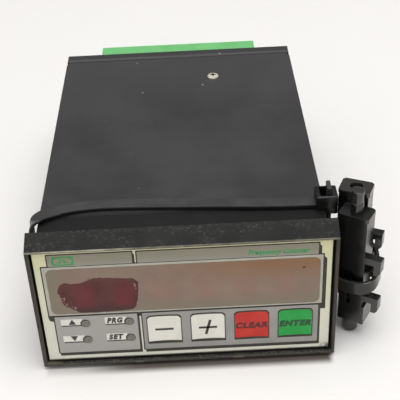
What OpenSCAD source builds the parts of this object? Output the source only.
// Panel-mount electronic frequency counter, 96 x 48 mm front, with its two screw-jack panel
// clamps and the two nylon ties that hold them to the case.
// Frame: origin at the centre of the panel cut-out, in the plane of the panel's front face.
// +X to the right seen from the front, +Y into the panel, +Z up. Millimetres.

/* [Bezel] */
// Width of the bezel at its rear edge
bezel_w = 96; // [94:0.5:98]
// Height of the bezel at its rear edge
bezel_h = 48; // [47.5:0.5:50]
// Depth of the bezel in front of the panel
bezel_depth = 10; // [9:0.5:12]
// How much each side of the bezel leans in towards the front
bezel_draft = 0.8; // [0:0.1:0.9]
// Thickness of the lip at the sides and the bottom
lip = 1.1; // [0.8:0.1:1.3]
// Thickness of the lip at the top
lip_top = 0.6; // [0.5:0.1:1]
// How far the foil lies behind the front of the lip
foil_recess = 1; // [0.8:0.1:1.4]
// Open channel between the lip and the foil
foil_gap = 0.9; // [0.5:0.1:1]

/* [Case] */
// Width of the case behind the panel
case_w = 90; // [89:0.5:91]
// Height of the case behind the panel
case_h = 43.6; // [43.2:0.1:44]
// Depth of the closed case behind the panel
case_len = 122.4; // [120:0.1:126]
// Wall thickness of the case
wall = 2; // [1.8:0.1:2.2]
// Length of the rear cap
cap_len = 6; // [5:0.5:7]
// Width of the groove between the case and its rear cap
seam = 0.3; // [0.2:0.05:0.5]

/* [Keys and lamps] */
// Width of one key
key_w = 10.9; // [10:0.1:11.5]
// Height of one key
key_h = 11.3; // [10:0.1:11.8]
// Distance between key centres
key_pitch = 13.85; // [13:0.05:13.9]
// Travel of a key until its dome snaps
key_travel = 0.3; // [0.2:0.05:0.3]
// Diameter of a status lamp
lamp_d = 3; // [2:0.5:3]

/* [Display] */
// Width of one digit module
digit_w = 12.5; // [11:0.1:12.6]
// Height of one digit module
digit_h = 17.6; // [15:0.1:18]

/* [Terminals] */
// Poles in one row of terminals
poles = 12; // [8:1:12]
// Distance between poles
pole_pitch = 5.08; // [5:0.08:5.08]
// Height of a terminal plug
plug_h = 15; // [14:0.5:15]
// Rear end of the terminal plugs
plug_rear = 136.4; // [134:0.2:138]
// Height from the lower to the upper row
row_step = 20; // [20:0.5:20.5]

/* [Panel clamps] */
// Height of a clamp body with its foot
clamp_h = 47.5; // [46:0.5:50]
// Width of the clamp's top flange
clamp_w = 10.1; // [9.5:0.1:10.5]
// Depth of the clamp's top flange
clamp_d = 7.1; // [6.5:0.1:7.5]
// Radius of the jack spindle
spindle_r = 2; // [1.6:0.05:2.1]
// Length of the jack spindle with its pad
spindle_len = 50.3; // [48:0.1:52]
// How far the front clamp's spindle stands out of its body
spindle_out = 8; // [0:0.5:12]

/* [Ties] */
// Width of a tie strap
tie_w = 4.8; // [3.6:0.1:4.8]
// Thickness of a tie strap
tie_t = 1.3; // [1:0.1:1.3]

/* [Hidden] */
$fn = 48;
eps = 0.1;

black = [0.1, 0.1, 0.1];
dark_grey = [0.27, 0.27, 0.28];
cream = [0.86, 0.86, 0.8];
board_green = [0.1, 0.35, 0.18];
terminal_green = [0.45, 0.82, 0.52];
steel = [0.75, 0.75, 0.76];
brass = [0.78, 0.65, 0.35];

// Front stack, from the foil's face backwards
foil_y = -bezel_depth + foil_recess;
foil_t = 0.3;
membrane_y = foil_y + foil_t;
membrane_t = 0.5;
carrier_y = membrane_y + membrane_t;
carrier_t = 1.7;
pocket_y = carrier_y + carrier_t;
foil_half_w = bezel_w / 2 - bezel_draft - lip - foil_gap;
pocket_bottom = -bezel_h / 2 + bezel_draft / 2 + lip;
pocket_top = bezel_h / 2 - bezel_draft / 2 - lip_top;
foil_bottom = pocket_bottom + foil_gap + 0.1;
foil_top = pocket_top - 0.4;
socket_depth = 3;
gasket_half_w = case_w / 2 + 2;
gasket_half_h = case_h / 2 + 1.2;
gasket_t = 1;

// Printed layout of the front
window_half_w = 41.65;
window_bottom = -1.7;
window_top = 16.05;
key_z = -9.85;
key_x0 = -7.2;
key_rise = 0.3;
lamp_x = [-31.8, -18];
lamp_z = [-6.3, -13.2];

// Case
in_w = case_w - 2 * wall;
in_h = case_h - 2 * wall;
cap_y = case_len - cap_len;
shell_end = cap_y - seam;
screw_at = [13.5, 98.7];
hook_pitch = 15.4;
slot_y = 20;
slot_len = 9.6;
slot_w = 3.4;

// Boards
board_t = 1.6;
board_half_w = 42;
display_board_y = -0.6;
display_board_h = 38;
lower_board_z = -18.6;
upper_board_z = lower_board_z + row_step;
upper_board_y = 56;
board_end = 118;
lower_top = lower_board_z + board_t;
upper_top = upper_board_z + board_t;

// Transformer on the lower board
core_x = [-34.5, -2.5];
core_y = [22, 38];
core_z = [lower_top + 2, lower_top + 29];
core_leg = 6.6;
core_yoke = 5.3;

// Terminals: a row's heights are measured from its own board's top
end_wall = 1.5;
row_half_w = poles * pole_pitch / 2 + end_wall;
header_y = 108.4;
header_h = 12;
header_face = case_len - wall;
cavity_y = header_y + 3;
nose_y = cavity_y + 0.8;
nose_half_w = row_half_w - 1.7;
nose_z = [1.5, 10.5];
plug_y = case_len + 0.5;
pin_z = 6;
pin_w = 1;
wire_z = 4.2;
screw_z = 11.2;

// Clamps
clamp_body_w = clamp_w - 0.6;
clamp_body_d = clamp_d - 0.3;
foot_h = 5.2;
bore_r = spindle_r + 0.05;
pad_r = spindle_r - 0.05;
pad_h = 1.4;
neck_r = 1.8;
pin_r = 1.5;
neck_h = 3;
hook_tops = [33, 17.5];
hook_reach = 10.1;
hook_leg = 5.8;
hook_bar = 2.3;
lower_shift = 1.1;
table_z = -bezel_h / 2;
front_clamp_at = [54.3, 3.35, table_z];
front_clamp_yaw = -31;
rear_clamp_at = [55.2, 11.4, table_z + 3.8];
rear_clamp_yaw = -24;
rear_spindle_out = -1;

// Route of the tie round the case: from its head, over the top, down the left side, back
// under the case, up the right side and out of the head
housing_tie_route = [
    [43.6, 10.4, 22.6], [38, 10.5, 22.5], [28, 10.9, 22.5], [14, 12, 22.5], [0, 13, 22.5],
    [-14, 14, 22.5], [-24, 14.4, 22.5], [-33, 13.7, 22.5], [-40, 11.8, 22.6],
    [-44.2, 9.4, 22.8], [-46.5, 7.2, 21.8], [-47, 5.6, 18.5], [-47, 4.8, 10], [-47, 4.7, -8],
    [-47, 4.7, -18], [-46.6, 4.8, -21.7], [-44.6, 5, -22.7], [-36, 5.6, -22.5],
    [-12, 7.2, -22.5], [12, 8.8, -22.5], [36, 10.1, -22.5], [44.4, 10.5, -22.7],
    [46.6, 10.6, -21.7], [46.9, 10.6, -18], [47, 10.6, -10], [47.6, 10.6, 0],
    [47.3, 10.6, 9], [46.6, 10.5, 15], [46.4, 10.4, 19], [46.4, 10.4, 22],
    [46.4, 10.4, 25], [46.3, 10.4, 29]];
housing_tie_head = [46.4, 10.4, 22.6];

// Route of the tie round the two clamps and the first tie's rising end
bundle_tie_route = [
    [51, 17.7, 1.5], [53.4, 17.1, 1.4], [56.5, 16.2, 1.2], [60.4, 14.8, 0.9],
    [62.6, 11.4, 0.5], [62.6, 6.5, 0.1], [62, 1.6, -0.6], [60, -2, -1.5],
    [56.8, -3.3, -2.2], [53, -1.8, -2.8], [49.7, 0.4, -3], [47.6, 2.6, -2.8],
    [46.2, 5.5, -2], [45.8, 8.5, -1], [45.8, 12, 0.2], [46.1, 15, 1],
    [47.4, 17.6, 1.4], [49.1, 19.5, 1.5], [50.1, 20.5, 1.5], [51.9, 22.3, 1.5]];
bundle_tie_head = [49.1, 19.5, 1.5];

// ---------------------------------------------------------------- helpers

module box(x, y, z) {
    translate([x[0], y[0], z[0]]) cube([x[1] - x[0], y[1] - y[0], z[1] - z[0]]);
}

// Cylinder along Y at x, z
module rod_y(r, x, y, z) {
    translate([x, y[0], z]) rotate([-90, 0, 0]) cylinder(r = r, h = y[1] - y[0]);
}

module mirrored_x() {
    children();
    mirror([1, 0, 0]) children();
}

function unit(v) = v / norm(v);

// Point on a Catmull-Rom curve between p[i] and p[i + 1]
function curve_point(p, i, t) =
    let (n = len(p) - 1, a = p[max(i - 1, 0)], b = p[i], c = p[min(i + 1, n)],
         d = p[min(i + 2, n)])
    0.5 * (2 * b + t * (c - a) + t * t * (2 * a - 5 * b + 4 * c - d)
           + t * t * t * (3 * b - a - 3 * c + d));

function smooth_route(p, steps) =
    [for (i = [0:len(p) - 2]) for (k = [0:steps - 1]) curve_point(p, i, k / steps),
     p[len(p) - 1]];

// Flat strap swept along a route: across is the direction of its width
module strap(route, across) {
    p = smooth_route(route, 4);
    n = len(p);
    rings = [for (i = [0:n - 1])
        let (t = unit(p[min(i + 1, n - 1)] - p[max(i - 1, 0)]),
             a = unit(across - (across * t) * t),
             b = cross(t, a))
        for (s = [[1, 1], [-1, 1], [-1, -1], [1, -1]])
            p[i] + s[0] * a * tie_w / 2 + s[1] * b * tie_t / 2];
    sides = [for (i = [0:n - 2]) for (k = [0:3])
        let (a = 4 * i + k, b = 4 * i + (k + 1) % 4)
        for (face = [[a, a + 4, b + 4], [a, b + 4, b]]) face];
    ends = [[0, 1, 2, 3], [for (k = [3:-1:0]) 4 * (n - 1) + k]];
    polyhedron(points = rings, faces = concat(sides, ends), convexity = 6);
}

// ---------------------------------------------------------------- bezel and case

module bezel_frame() {
    side = [[-bezel_w / 2, 0], [bezel_w / 2, 0],
            [bezel_w / 2 - bezel_draft, -bezel_depth],
            [-bezel_w / 2 + bezel_draft, -bezel_depth]];
    profile = [[0, -bezel_h / 2], [0, bezel_h / 2],
               [-bezel_depth, bezel_h / 2 - bezel_draft / 2],
               [-bezel_depth, -bezel_h / 2 + bezel_draft / 2]];
    pocket_half_w = foil_half_w + foil_gap;
    color(dark_grey) difference() {
        intersection() {
            translate([0, 0, -bezel_h / 2]) linear_extrude(bezel_h) polygon(side);
            translate([-bezel_w / 2, 0, 0]) rotate([90, 0, 90])
                linear_extrude(bezel_w) polygon(profile);
        }
        box([-pocket_half_w, pocket_half_w], [-bezel_depth - 1, pocket_y],
            [pocket_bottom, pocket_top]);
        box([-in_w / 2, in_w / 2], [pocket_y - 1, 1], [-in_h / 2, in_h / 2]);
        box([-case_w / 2, case_w / 2], [-socket_depth, 1], [-case_h / 2, case_h / 2]);
        gasket_groove(1);
    }
}

// Groove round the case in the bezel's rear face
module gasket_groove(proud) {
    box([-gasket_half_w, gasket_half_w], [-gasket_t, proud], [-gasket_half_h, gasket_half_h]);
}

// The gasket lies flush in its groove, as it does behind a panel
module panel_gasket() {
    color(black) difference() {
        gasket_groove(0);
        box([-case_w / 2, case_w / 2], [-2, 2], [-case_h / 2, case_h / 2]);
    }
}

// Four slots take the hooks of the clamps, two on each side
module hook_slots() {
    for (y = [slot_y, slot_y + hook_pitch])
        box([-case_w / 2 - 1, case_w / 2 + 1], [y, y + slot_len],
            [-slot_w / 2, slot_w / 2]);
}

// Ledges that hold the edges of the two boards
module board_rails() {
    mirrored_x() {
        box([board_half_w - 1.5, in_w / 2 + eps], [6, cap_y - 8],
            [lower_top + 0.1, lower_top + 1.3]);
        for (z = [upper_board_z - 1.3, upper_top + 0.1])
            box([board_half_w - 1.5, in_w / 2 + eps], [upper_board_y, cap_y - 8],
                [z, z + 1.2]);
    }
}

module housing_shell() {
    color(dark_grey) difference() {
        union() {
            difference() {
                box([-case_w / 2, case_w / 2], [-socket_depth, shell_end],
                    [-case_h / 2, case_h / 2]);
                box([-in_w / 2, in_w / 2], [-socket_depth - 1, shell_end + 1],
                    [-in_h / 2, in_h / 2]);
            }
            board_rails();
        }
        hook_slots();
        translate([screw_at[0], screw_at[1], in_h / 2 - 1]) cylinder(r = 1.6, h = wall + 2);
        // Thumbnail notches at the ends of the seam
        mirrored_x() box([case_w / 2 - 0.8, case_w / 2 + 1], [shell_end - 1.6, shell_end + 1],
                         [case_h / 2 - 3, case_h / 2 + 1]);
    }
}

module rear_cap() {
    color(dark_grey) difference() {
        union() {
            box([-case_w / 2, case_w / 2], [cap_y, case_len], [-case_h / 2, case_h / 2]);
            box([-in_w / 2, in_w / 2], [cap_y - 4, cap_y + 1], [-in_h / 2, in_h / 2]);
        }
        box([-in_w / 2 + 1, in_w / 2 - 1], [cap_y - 5, case_len - wall],
            [-in_h / 2 + 1, in_h / 2 - 1]);
        for (z = [lower_top, upper_top])
            box([-nose_half_w - 0.6, nose_half_w + 0.6], [cap_y, case_len + 1],
                [z + nose_z[0] - 0.6, z + nose_z[1] + 0.6]);
    }
}

// ---------------------------------------------------------------- front stack

module front_outline(y, t) {
    box([-foil_half_w, foil_half_w], [y, y + t], [foil_bottom, foil_top]);
}

module window_cut(grow) {
    box([-window_half_w - grow, window_half_w + grow], [-bezel_depth, 0],
        [window_bottom - grow, window_top + grow]);
}

module key_cuts(grow) {
    for (k = [0:3])
        translate([key_x0 + k * key_pitch, 0, key_z])
            box([-key_w / 2 - grow, key_w / 2 + grow], [-bezel_depth, carrier_y],
                [-key_h / 2 - grow, key_h / 2 + grow]);
}

module lamp_cuts(r) {
    for (x = lamp_x) for (z = lamp_z) rod_y(r, x, [-bezel_depth, 0], z);
}

module front_foil() {
    color(cream) difference() {
        front_outline(foil_y, foil_t);
        key_cuts(0.1);
    }
}

module membrane_layer() {
    color([0.8, 0.8, 0.75]) difference() {
        front_outline(membrane_y, membrane_t);
        window_cut(0.2);
        key_cuts(0.3);
        lamp_cuts(lamp_d / 2 + 0.2);
    }
}

// Key number k from the left, with the raised pad that the finger presses
module key_pad(k, paint) {
    color(paint) translate([key_x0 + k * key_pitch, foil_y - key_rise, key_z])
        box([-key_w / 2, key_w / 2], [0, key_rise + 0.15], [-key_h / 2, key_h / 2]);
}

module key_domes() {
    dome_h = 0.3;
    color(steel) for (k = [0:3])
        translate([key_x0 + k * key_pitch, carrier_y, key_z]) rotate([90, 0, 0])
            difference() {
                cylinder(r1 = 4.5, r2 = 3.4, h = dome_h);
                translate([0, 0, -eps]) cylinder(r1 = 4.2, r2 = 3.2, h = dome_h - 0.05);
            }
}

module foil_carrier() {
    color([0.7, 0.71, 0.72]) difference() {
        front_outline(carrier_y, carrier_t);
        window_cut(0.2);
        lamp_cuts(lamp_d / 2 + 0.2);
        box([-38, -26], [carrier_y - 1, 0], [-16.9, -16.1]);
    }
}

module display_filter() {
    color([0.5, 0.08, 0.1]) box([-window_half_w, window_half_w],
        [membrane_y, membrane_y + 2], [window_bottom, window_top]);
}

// ---------------------------------------------------------------- display board

// Seven-segment module: digit i counts from 0 at the left
module digit(i) {
    x = (i - 2.5) * digit_w;
    zc = (window_bottom + window_top) / 2;
    face = membrane_y + 2.4;
    color([0.15, 0.13, 0.13]) difference() {
        box([x - digit_w / 2 + 0.05, x + digit_w / 2 - 0.05], [face, display_board_y],
            [zc - digit_h / 2, zc + digit_h / 2]);
        for (s = [-1, 0, 1]) box([x - 2.8, x + 2.8], [face - 1, face + 0.2],
            [zc + s * 6.4 - 0.6, zc + s * 6.4 + 0.6]);
        for (sx = [-1, 1]) for (sz = [-1, 1])
            box([x + sx * 3.6 - 0.6, x + sx * 3.6 + 0.6], [face - 1, face + 0.2],
                [zc + sz * 3.2 - 2.2, zc + sz * 3.2 + 2.2]);
    }
}

module display_board() {
    color(board_green) box([-board_half_w, board_half_w],
        [display_board_y, display_board_y + board_t],
        [-display_board_h / 2, display_board_h / 2]);
}

// Lamps stand on their leads, with the domed ends just behind the foil
module status_lamps() {
    r = lamp_d / 2;
    flange = [pocket_y + 0.6, pocket_y + 1.4];
    color([0.75, 0.75, 0.7]) for (x = lamp_x) for (z = lamp_z) {
        translate([x, 0, z]) rotate([-90, 0, 0]) rotate_extrude() polygon([
            [0, membrane_y + 0.15], [0.8 * r, membrane_y + 0.4], [r, membrane_y + 1],
            [r, flange[0]], [r + 0.4, flange[0]], [r + 0.4, flange[1]], [0, flange[1]]]);
        for (s = [-1, 1])
            box([x + s * 0.8 - 0.25, x + s * 0.8 + 0.25], [flange[1] - eps, display_board_y],
                [z - 0.25, z + 0.25]);
    }
}

module keypad_tail() {
    color([0.75, 0.75, 0.7]) box([-37.5, -26.5], [carrier_y, -3], [-16.6, -16.4]);
}

module tail_connector() {
    color(cream) difference() {
        box([-39, -25], [-4.4, display_board_y], [-18, -15]);
        box([-37.5, -26.5], [-5, -3], [-16.6, -16.4]);
    }
}

module board_connector() {
    color(black) box([4, 36], [display_board_y + board_t, 6], [lower_top, lower_top + 2.6]);
}

// ---------------------------------------------------------------- boards and parts

module lower_board() {
    color(board_green) box([-board_half_w, board_half_w], [3, board_end],
        [lower_board_z, lower_top]);
}

module upper_board() {
    color(board_green) box([-board_half_w, board_half_w], [upper_board_y, board_end - 6],
        [upper_board_z, upper_top]);
}

module board_pillars() {
    color(brass) for (x = [-37, 37]) for (y = [61, 104])
        translate([x, y, lower_top]) cylinder(r = 2.5, h = upper_board_z - lower_top, $fn = 6);
}

// Laminated core: two windows leave the middle leg that carries the coil
module core_windows(grow) {
    xc = (core_x[0] + core_x[1]) / 2;
    half = (core_x[1] - core_x[0]) / 2 - core_yoke;
    for (s = [-1, 1]) {
        inner = core_leg / 2;
        x = s > 0 ? [xc + inner, xc + half] : [xc - half, xc - inner];
        box(x, [core_y[0] - grow, core_y[1] + grow],
            [core_z[0] + core_yoke, core_z[1] - core_yoke]);
    }
}

module transformer_core() {
    color([0.45, 0.45, 0.48]) difference() {
        box(core_x, core_y, core_z);
        core_windows(1);
    }
}

module transformer_coil() {
    xc = (core_x[0] + core_x[1]) / 2;
    half = (core_x[1] - core_x[0]) / 2 - core_yoke;
    z = [core_z[0] + core_yoke, core_z[1] - core_yoke];
    color([0.85, 0.6, 0.2]) {
        core_windows(0);
        for (y = [[core_y[0] - 5, core_y[0]], [core_y[1], core_y[1] + 5]]) {
            box([xc - half, xc + half], y, [lower_top, z[1]]);
        }
    }
}

module filter_capacitors() {
    color([0.12, 0.13, 0.3]) {
        translate([14, 22, lower_top]) cylinder(r = 6.25, h = 22);
        translate([29, 22, lower_top]) cylinder(r = 5, h = 18);
    }
}

module relay(y) {
    color([0.9, 0.88, 0.8]) box([-36, -16], [y, y + 12.5], [upper_top, upper_top + 14.5]);
}

module counter_chip() {
    color(black) difference() {
        box([2, 20], [62, 80], [lower_top, lower_top + 4.4]);
        translate([4, 78, lower_top + 4.4]) sphere(r = 0.6);
    }
}

module logic_chips() {
    color(black) {
        for (y = [62, 74]) box([26, 32.4], [y, y + 9.9], [lower_top, lower_top + 3.4]);
        box([-30, -10.7], [62, 68.4], [lower_top, lower_top + 3.4]);
    }
}

// Flat quartz can with round ends
module reference_crystal() {
    color(steel) translate([0, 0, lower_top]) linear_extrude(3.6) {
        translate([8, 54]) square([6.4, 4.7]);
        translate([8, 56.35]) circle(r = 2.35);
        translate([14.4, 56.35]) circle(r = 2.35);
    }
}

module heat_sink() {
    plate_z = in_h / 2 - 2;
    color([0.78, 0.78, 0.8]) difference() {
        union() {
            box([4, 23], [90, 107], [plate_z, in_h / 2]);
            box([4, 23], [105.2, 107], [upper_top + 2, in_h / 2]);
        }
        translate([screw_at[0], screw_at[1], plate_z - 1]) cylinder(r = 1.5, h = 4);
    }
}

module voltage_regulator() {
    color(black) {
        box([8.5, 18.5], [100.6, 105.2], [upper_top + 3.5, upper_top + 12.5]);
        for (x = [11, 13.5, 16])
            box([x - 0.4, x + 0.4], [102.4, 103], [upper_top, upper_top + 3.6]);
    }
}

// Pan-head screw with a cross recess
module top_screw() {
    head_z = case_h / 2;
    color(steel) translate([screw_at[0], screw_at[1], head_z]) difference() {
        union() {
            rotate_extrude() polygon([[0, 0], [2.15, 0], [2.15, 0.25], [1.85, 0.65],
                                      [1.3, 0.9], [0, 1]]);
            translate([0, 0, -6]) cylinder(r = 1.5, h = 6 + eps);
        }
        for (a = [0, 90]) rotate([0, 0, a])
            box([-1.05, 1.05], [-0.25, 0.25], [0.3, 2]);
    }
}

// ---------------------------------------------------------------- terminals

function pole_x(i) = (i - (poles - 1) / 2) * pole_pitch;

module header_pins(top) {
    y_bend = header_y + 1.4;
    color(brass) for (i = [0:poles - 1]) {
        x = [pole_x(i) - pin_w / 2, pole_x(i) + pin_w / 2];
        box(x, [y_bend, header_face - 1.6], [top + pin_z - pin_w / 2, top + pin_z + pin_w / 2]);
        box(x, [y_bend, y_bend + pin_w], [top, top + pin_z]);
    }
}

module header(top) {
    color(terminal_green) difference() {
        box([-row_half_w, row_half_w], [header_y, header_face], [top, top + header_h]);
        box([-nose_half_w - 0.4, nose_half_w + 0.4], [cavity_y, header_face + 1],
            [top + nose_z[0] - 0.4, top + nose_z[1] + 0.4]);
        header_pins(top);
    }
}

module plug(top) {
    color(terminal_green) difference() {
        union() {
            box([-row_half_w, row_half_w], [plug_y, plug_rear], [top, top + plug_h]);
            box([-nose_half_w, nose_half_w], [nose_y, plug_y + 1],
                [top + nose_z[0], top + nose_z[1]]);
        }
        for (i = [0:poles - 1]) {
            x = pole_x(i);
            box([x - 0.8, x + 0.8], [nose_y - 1, header_face - 0.8],
                [top + pin_z - 0.8, top + pin_z + 0.8]);
            box([x - 1.8, x + 1.8], [plug_rear - 9, plug_rear + 1],
                [top + wire_z - 2.2, top + wire_z + 2.2]);
            rod_y(1.9, x, [plug_rear - 9.5, plug_rear + 1], top + screw_z);
        }
    }
}

module plug_screws(top) {
    base = plug_rear - 9.5;
    color(steel) for (i = [0:poles - 1]) difference() {
        rod_y(1.7, pole_x(i), [base, base + 5], top + screw_z);
        box([pole_x(i) - 2, pole_x(i) + 2], [base + 4.2, base + 6],
            [top + screw_z - 0.35, top + screw_z + 0.35]);
    }
}

module wire_cages(top) {
    y0 = plug_rear - 9;
    color(steel) for (i = [0:poles - 1]) difference() {
        box([pole_x(i) - 1.75, pole_x(i) + 1.75], [y0, y0 + 3],
            [top + wire_z - 2.1, top + wire_z + 2.1]);
        box([pole_x(i) - 1.2, pole_x(i) + 1.2], [y0 + 1, y0 + 4],
            [top + wire_z - 1.6, top + wire_z + 1.6]);
    }
}

// ---------------------------------------------------------------- panel clamps

module front_place() {
    translate(front_clamp_at) rotate([0, 0, front_clamp_yaw]) children();
}

module rear_place() {
    translate(rear_clamp_at) rotate([0, 0, rear_clamp_yaw]) children();
}

// Hook: an arm with a leg that points down, its outer lower corner cut off
module clamp_hook(top) {
    thick = 3;
    root = clamp_body_w / 2 - eps;
    translate([0, thick - clamp_body_d / 2, top]) rotate([90, 0, 0]) linear_extrude(thick) polygon([
        [root, 0], [hook_reach, 0], [hook_reach, -hook_leg + 1.2],
        [hook_reach - 0.8, -hook_leg], [hook_reach - hook_bar, -hook_leg],
        [hook_reach - hook_bar, -hook_bar], [root, -hook_bar]]);
}

// Top flange with its corners cut off
function flange_outline() =
    let (u = clamp_w / 2, w = clamp_d / 2, c = 0.8)
    [[c - u, -w], [u - c, -w], [u, c - w], [u, w - c], [u - c, w], [c - u, w], [-u, w - c],
     [-u, c - w]];

module clamp_body() {
    u = clamp_body_w / 2;
    w = clamp_body_d / 2;
    lower = [foot_h, 12.5];
    upper = [26.8, clamp_h - 1.4];
    web = [17.5, upper[0] + eps];
    pillar = u - 2;
    outer = u + lower_shift - 0.3;
    cheek_top = 20;
    color(black) difference() {
        union() {
            cylinder(r = 2.6, h = foot_h + eps);
            box([-u + 1.5, outer], [-w, w], lower);
            box([-u + 1.5, pillar + eps], [-w, w], [lower[1] - eps, cheek_top]);
            box([pillar, u], [-w, w], [lower[1] - eps, upper[0] + eps]);
            box([-u, pillar + eps], [1 - w, w], web);
            box([-u, u], [-w, w], upper);
            translate([0, w, 0]) rotate([90, 0, 0]) linear_extrude(2 * w)
                polygon([[0, upper[0] + eps], [pillar, upper[0] - 3],
                         [u, upper[0] - 3], [u, upper[0] + eps]]);
            translate([0, 0, upper[1] - eps]) linear_extrude(clamp_h - upper[1] + eps)
                polygon(flange_outline());
            for (top = hook_tops) clamp_hook(top);
        }
        translate([0, 0, -1]) cylinder(r = bore_r, h = clamp_h + 2);
        box([-0.7, 0.7], [-w - 1, 0], [lower[1], cheek_top + 1]);
    }
}

// The spindle's own foot is at z = 0; its neck carries the pad
module clamp_spindle() {
    thread_top = spindle_len - pad_h - neck_h;
    color([0.14, 0.14, 0.14]) difference() {
        union() {
            cylinder(r = spindle_r, h = thread_top);
            cylinder(r = neck_r, h = spindle_len - pad_h - 0.05);
            cylinder(r = pin_r, h = spindle_len - 0.5);
        }
        box([-3, 3], [-0.4, 0.4], [-1, 1.2]);
    }
}

module clamp_pad() {
    color([0.14, 0.14, 0.14]) translate([0, 0, spindle_len - pad_h]) difference() {
        cylinder(r = pad_r, h = pad_h);
        translate([0, 0, -1]) cylinder(r = pin_r + 0.05, h = 2);
    }
}

function spindle_foot(out) = clamp_h + out - spindle_len;

// ---------------------------------------------------------------- ties

// Head of a tie round the origin: the tail rises through the slot along +Z and the strap's
// root leaves towards -X. The part below the root hangs outside the corner it sits on.
module tie_head(drop, rise) {
    root = tie_t / 2 + eps;
    side = tie_w / 2 + 0.9;
    slot = [-tie_w / 2 - 0.15, tie_w / 2 + 0.15];
    tail = tie_t / 2 + 0.15;
    difference() {
        union() {
            box([-4.2, 2.6], [-side, side], [-root, rise]);
            box([-1.3, 2.6], [-side, side], [-drop, 0]);
        }
        box([-2.9, tail], slot, [root, rise + 1]);
        box([-tail, tail], slot, [-drop - 1, rise]);
    }
    // Pawl
    box([-3, -tail], [-tie_w / 2 + 0.4, tie_w / 2 - 0.4], [root + 0.3, rise - 0.6]);
}

module housing_tie() {
    color(black) {
        strap(housing_tie_route, [0, 1, 0]);
        translate(housing_tie_head) tie_head(2.6, 4);
    }
}

module bundle_tie() {
    color(black) {
        strap(bundle_tie_route, [0, 0, 1]);
        translate(bundle_tie_head) rotate([0, 0, -45]) rotate([-90, 0, 0])
            mirror([1, 0, 0]) tie_head(1.5, 3);
    }
}

// ---------------------------------------------------------------- nodes

bezel_frame();
panel_gasket();
housing_shell();
rear_cap();
front_foil();
membrane_layer();
key_pad(0, [0.88, 0.88, 0.85]);  // key_minus
key_pad(1, [0.88, 0.88, 0.85]);  // key_plus
key_pad(2, [0.75, 0.22, 0.2]);  // key_clear
key_pad(3, [0.2, 0.65, 0.3]);  // key_enter
key_domes();
foil_carrier();
display_filter();
digit(0);  // digit_1
digit(1);  // digit_2
digit(2);  // digit_3
digit(3);  // digit_4
digit(4);  // digit_5
digit(5);  // digit_6
display_board();
status_lamps();
keypad_tail();
tail_connector();
board_connector();
lower_board();
upper_board();
board_pillars();
transformer_core();
transformer_coil();
filter_capacitors();
relay(64);  // relay_1
relay(84);  // relay_2
counter_chip();
logic_chips();
reference_crystal();
voltage_regulator();
heat_sink();
top_screw();
header(upper_top);  // header_upper
header(lower_top);  // header_lower
header_pins(upper_top);  // header_pins_upper
header_pins(lower_top);  // header_pins_lower
plug(upper_top);  // plug_upper
plug(lower_top);  // plug_lower
plug_screws(upper_top);  // plug_screws_upper
plug_screws(lower_top);  // plug_screws_lower
wire_cages(upper_top);  // wire_cages_upper
wire_cages(lower_top);  // wire_cages_lower
front_place() clamp_body();  // front_clamp
front_place() translate([0, 0, spindle_foot(spindle_out)]) clamp_spindle();  // front_clamp_spindle
front_place() translate([0, 0, spindle_foot(spindle_out)]) clamp_pad();  // front_clamp_pad
rear_place() clamp_body();  // rear_clamp
rear_place() translate([0, 0, spindle_foot(rear_spindle_out)]) clamp_spindle();  // rear_clamp_spindle
rear_place() translate([0, 0, spindle_foot(rear_spindle_out)]) clamp_pad();  // rear_clamp_pad
housing_tie();
bundle_tie();
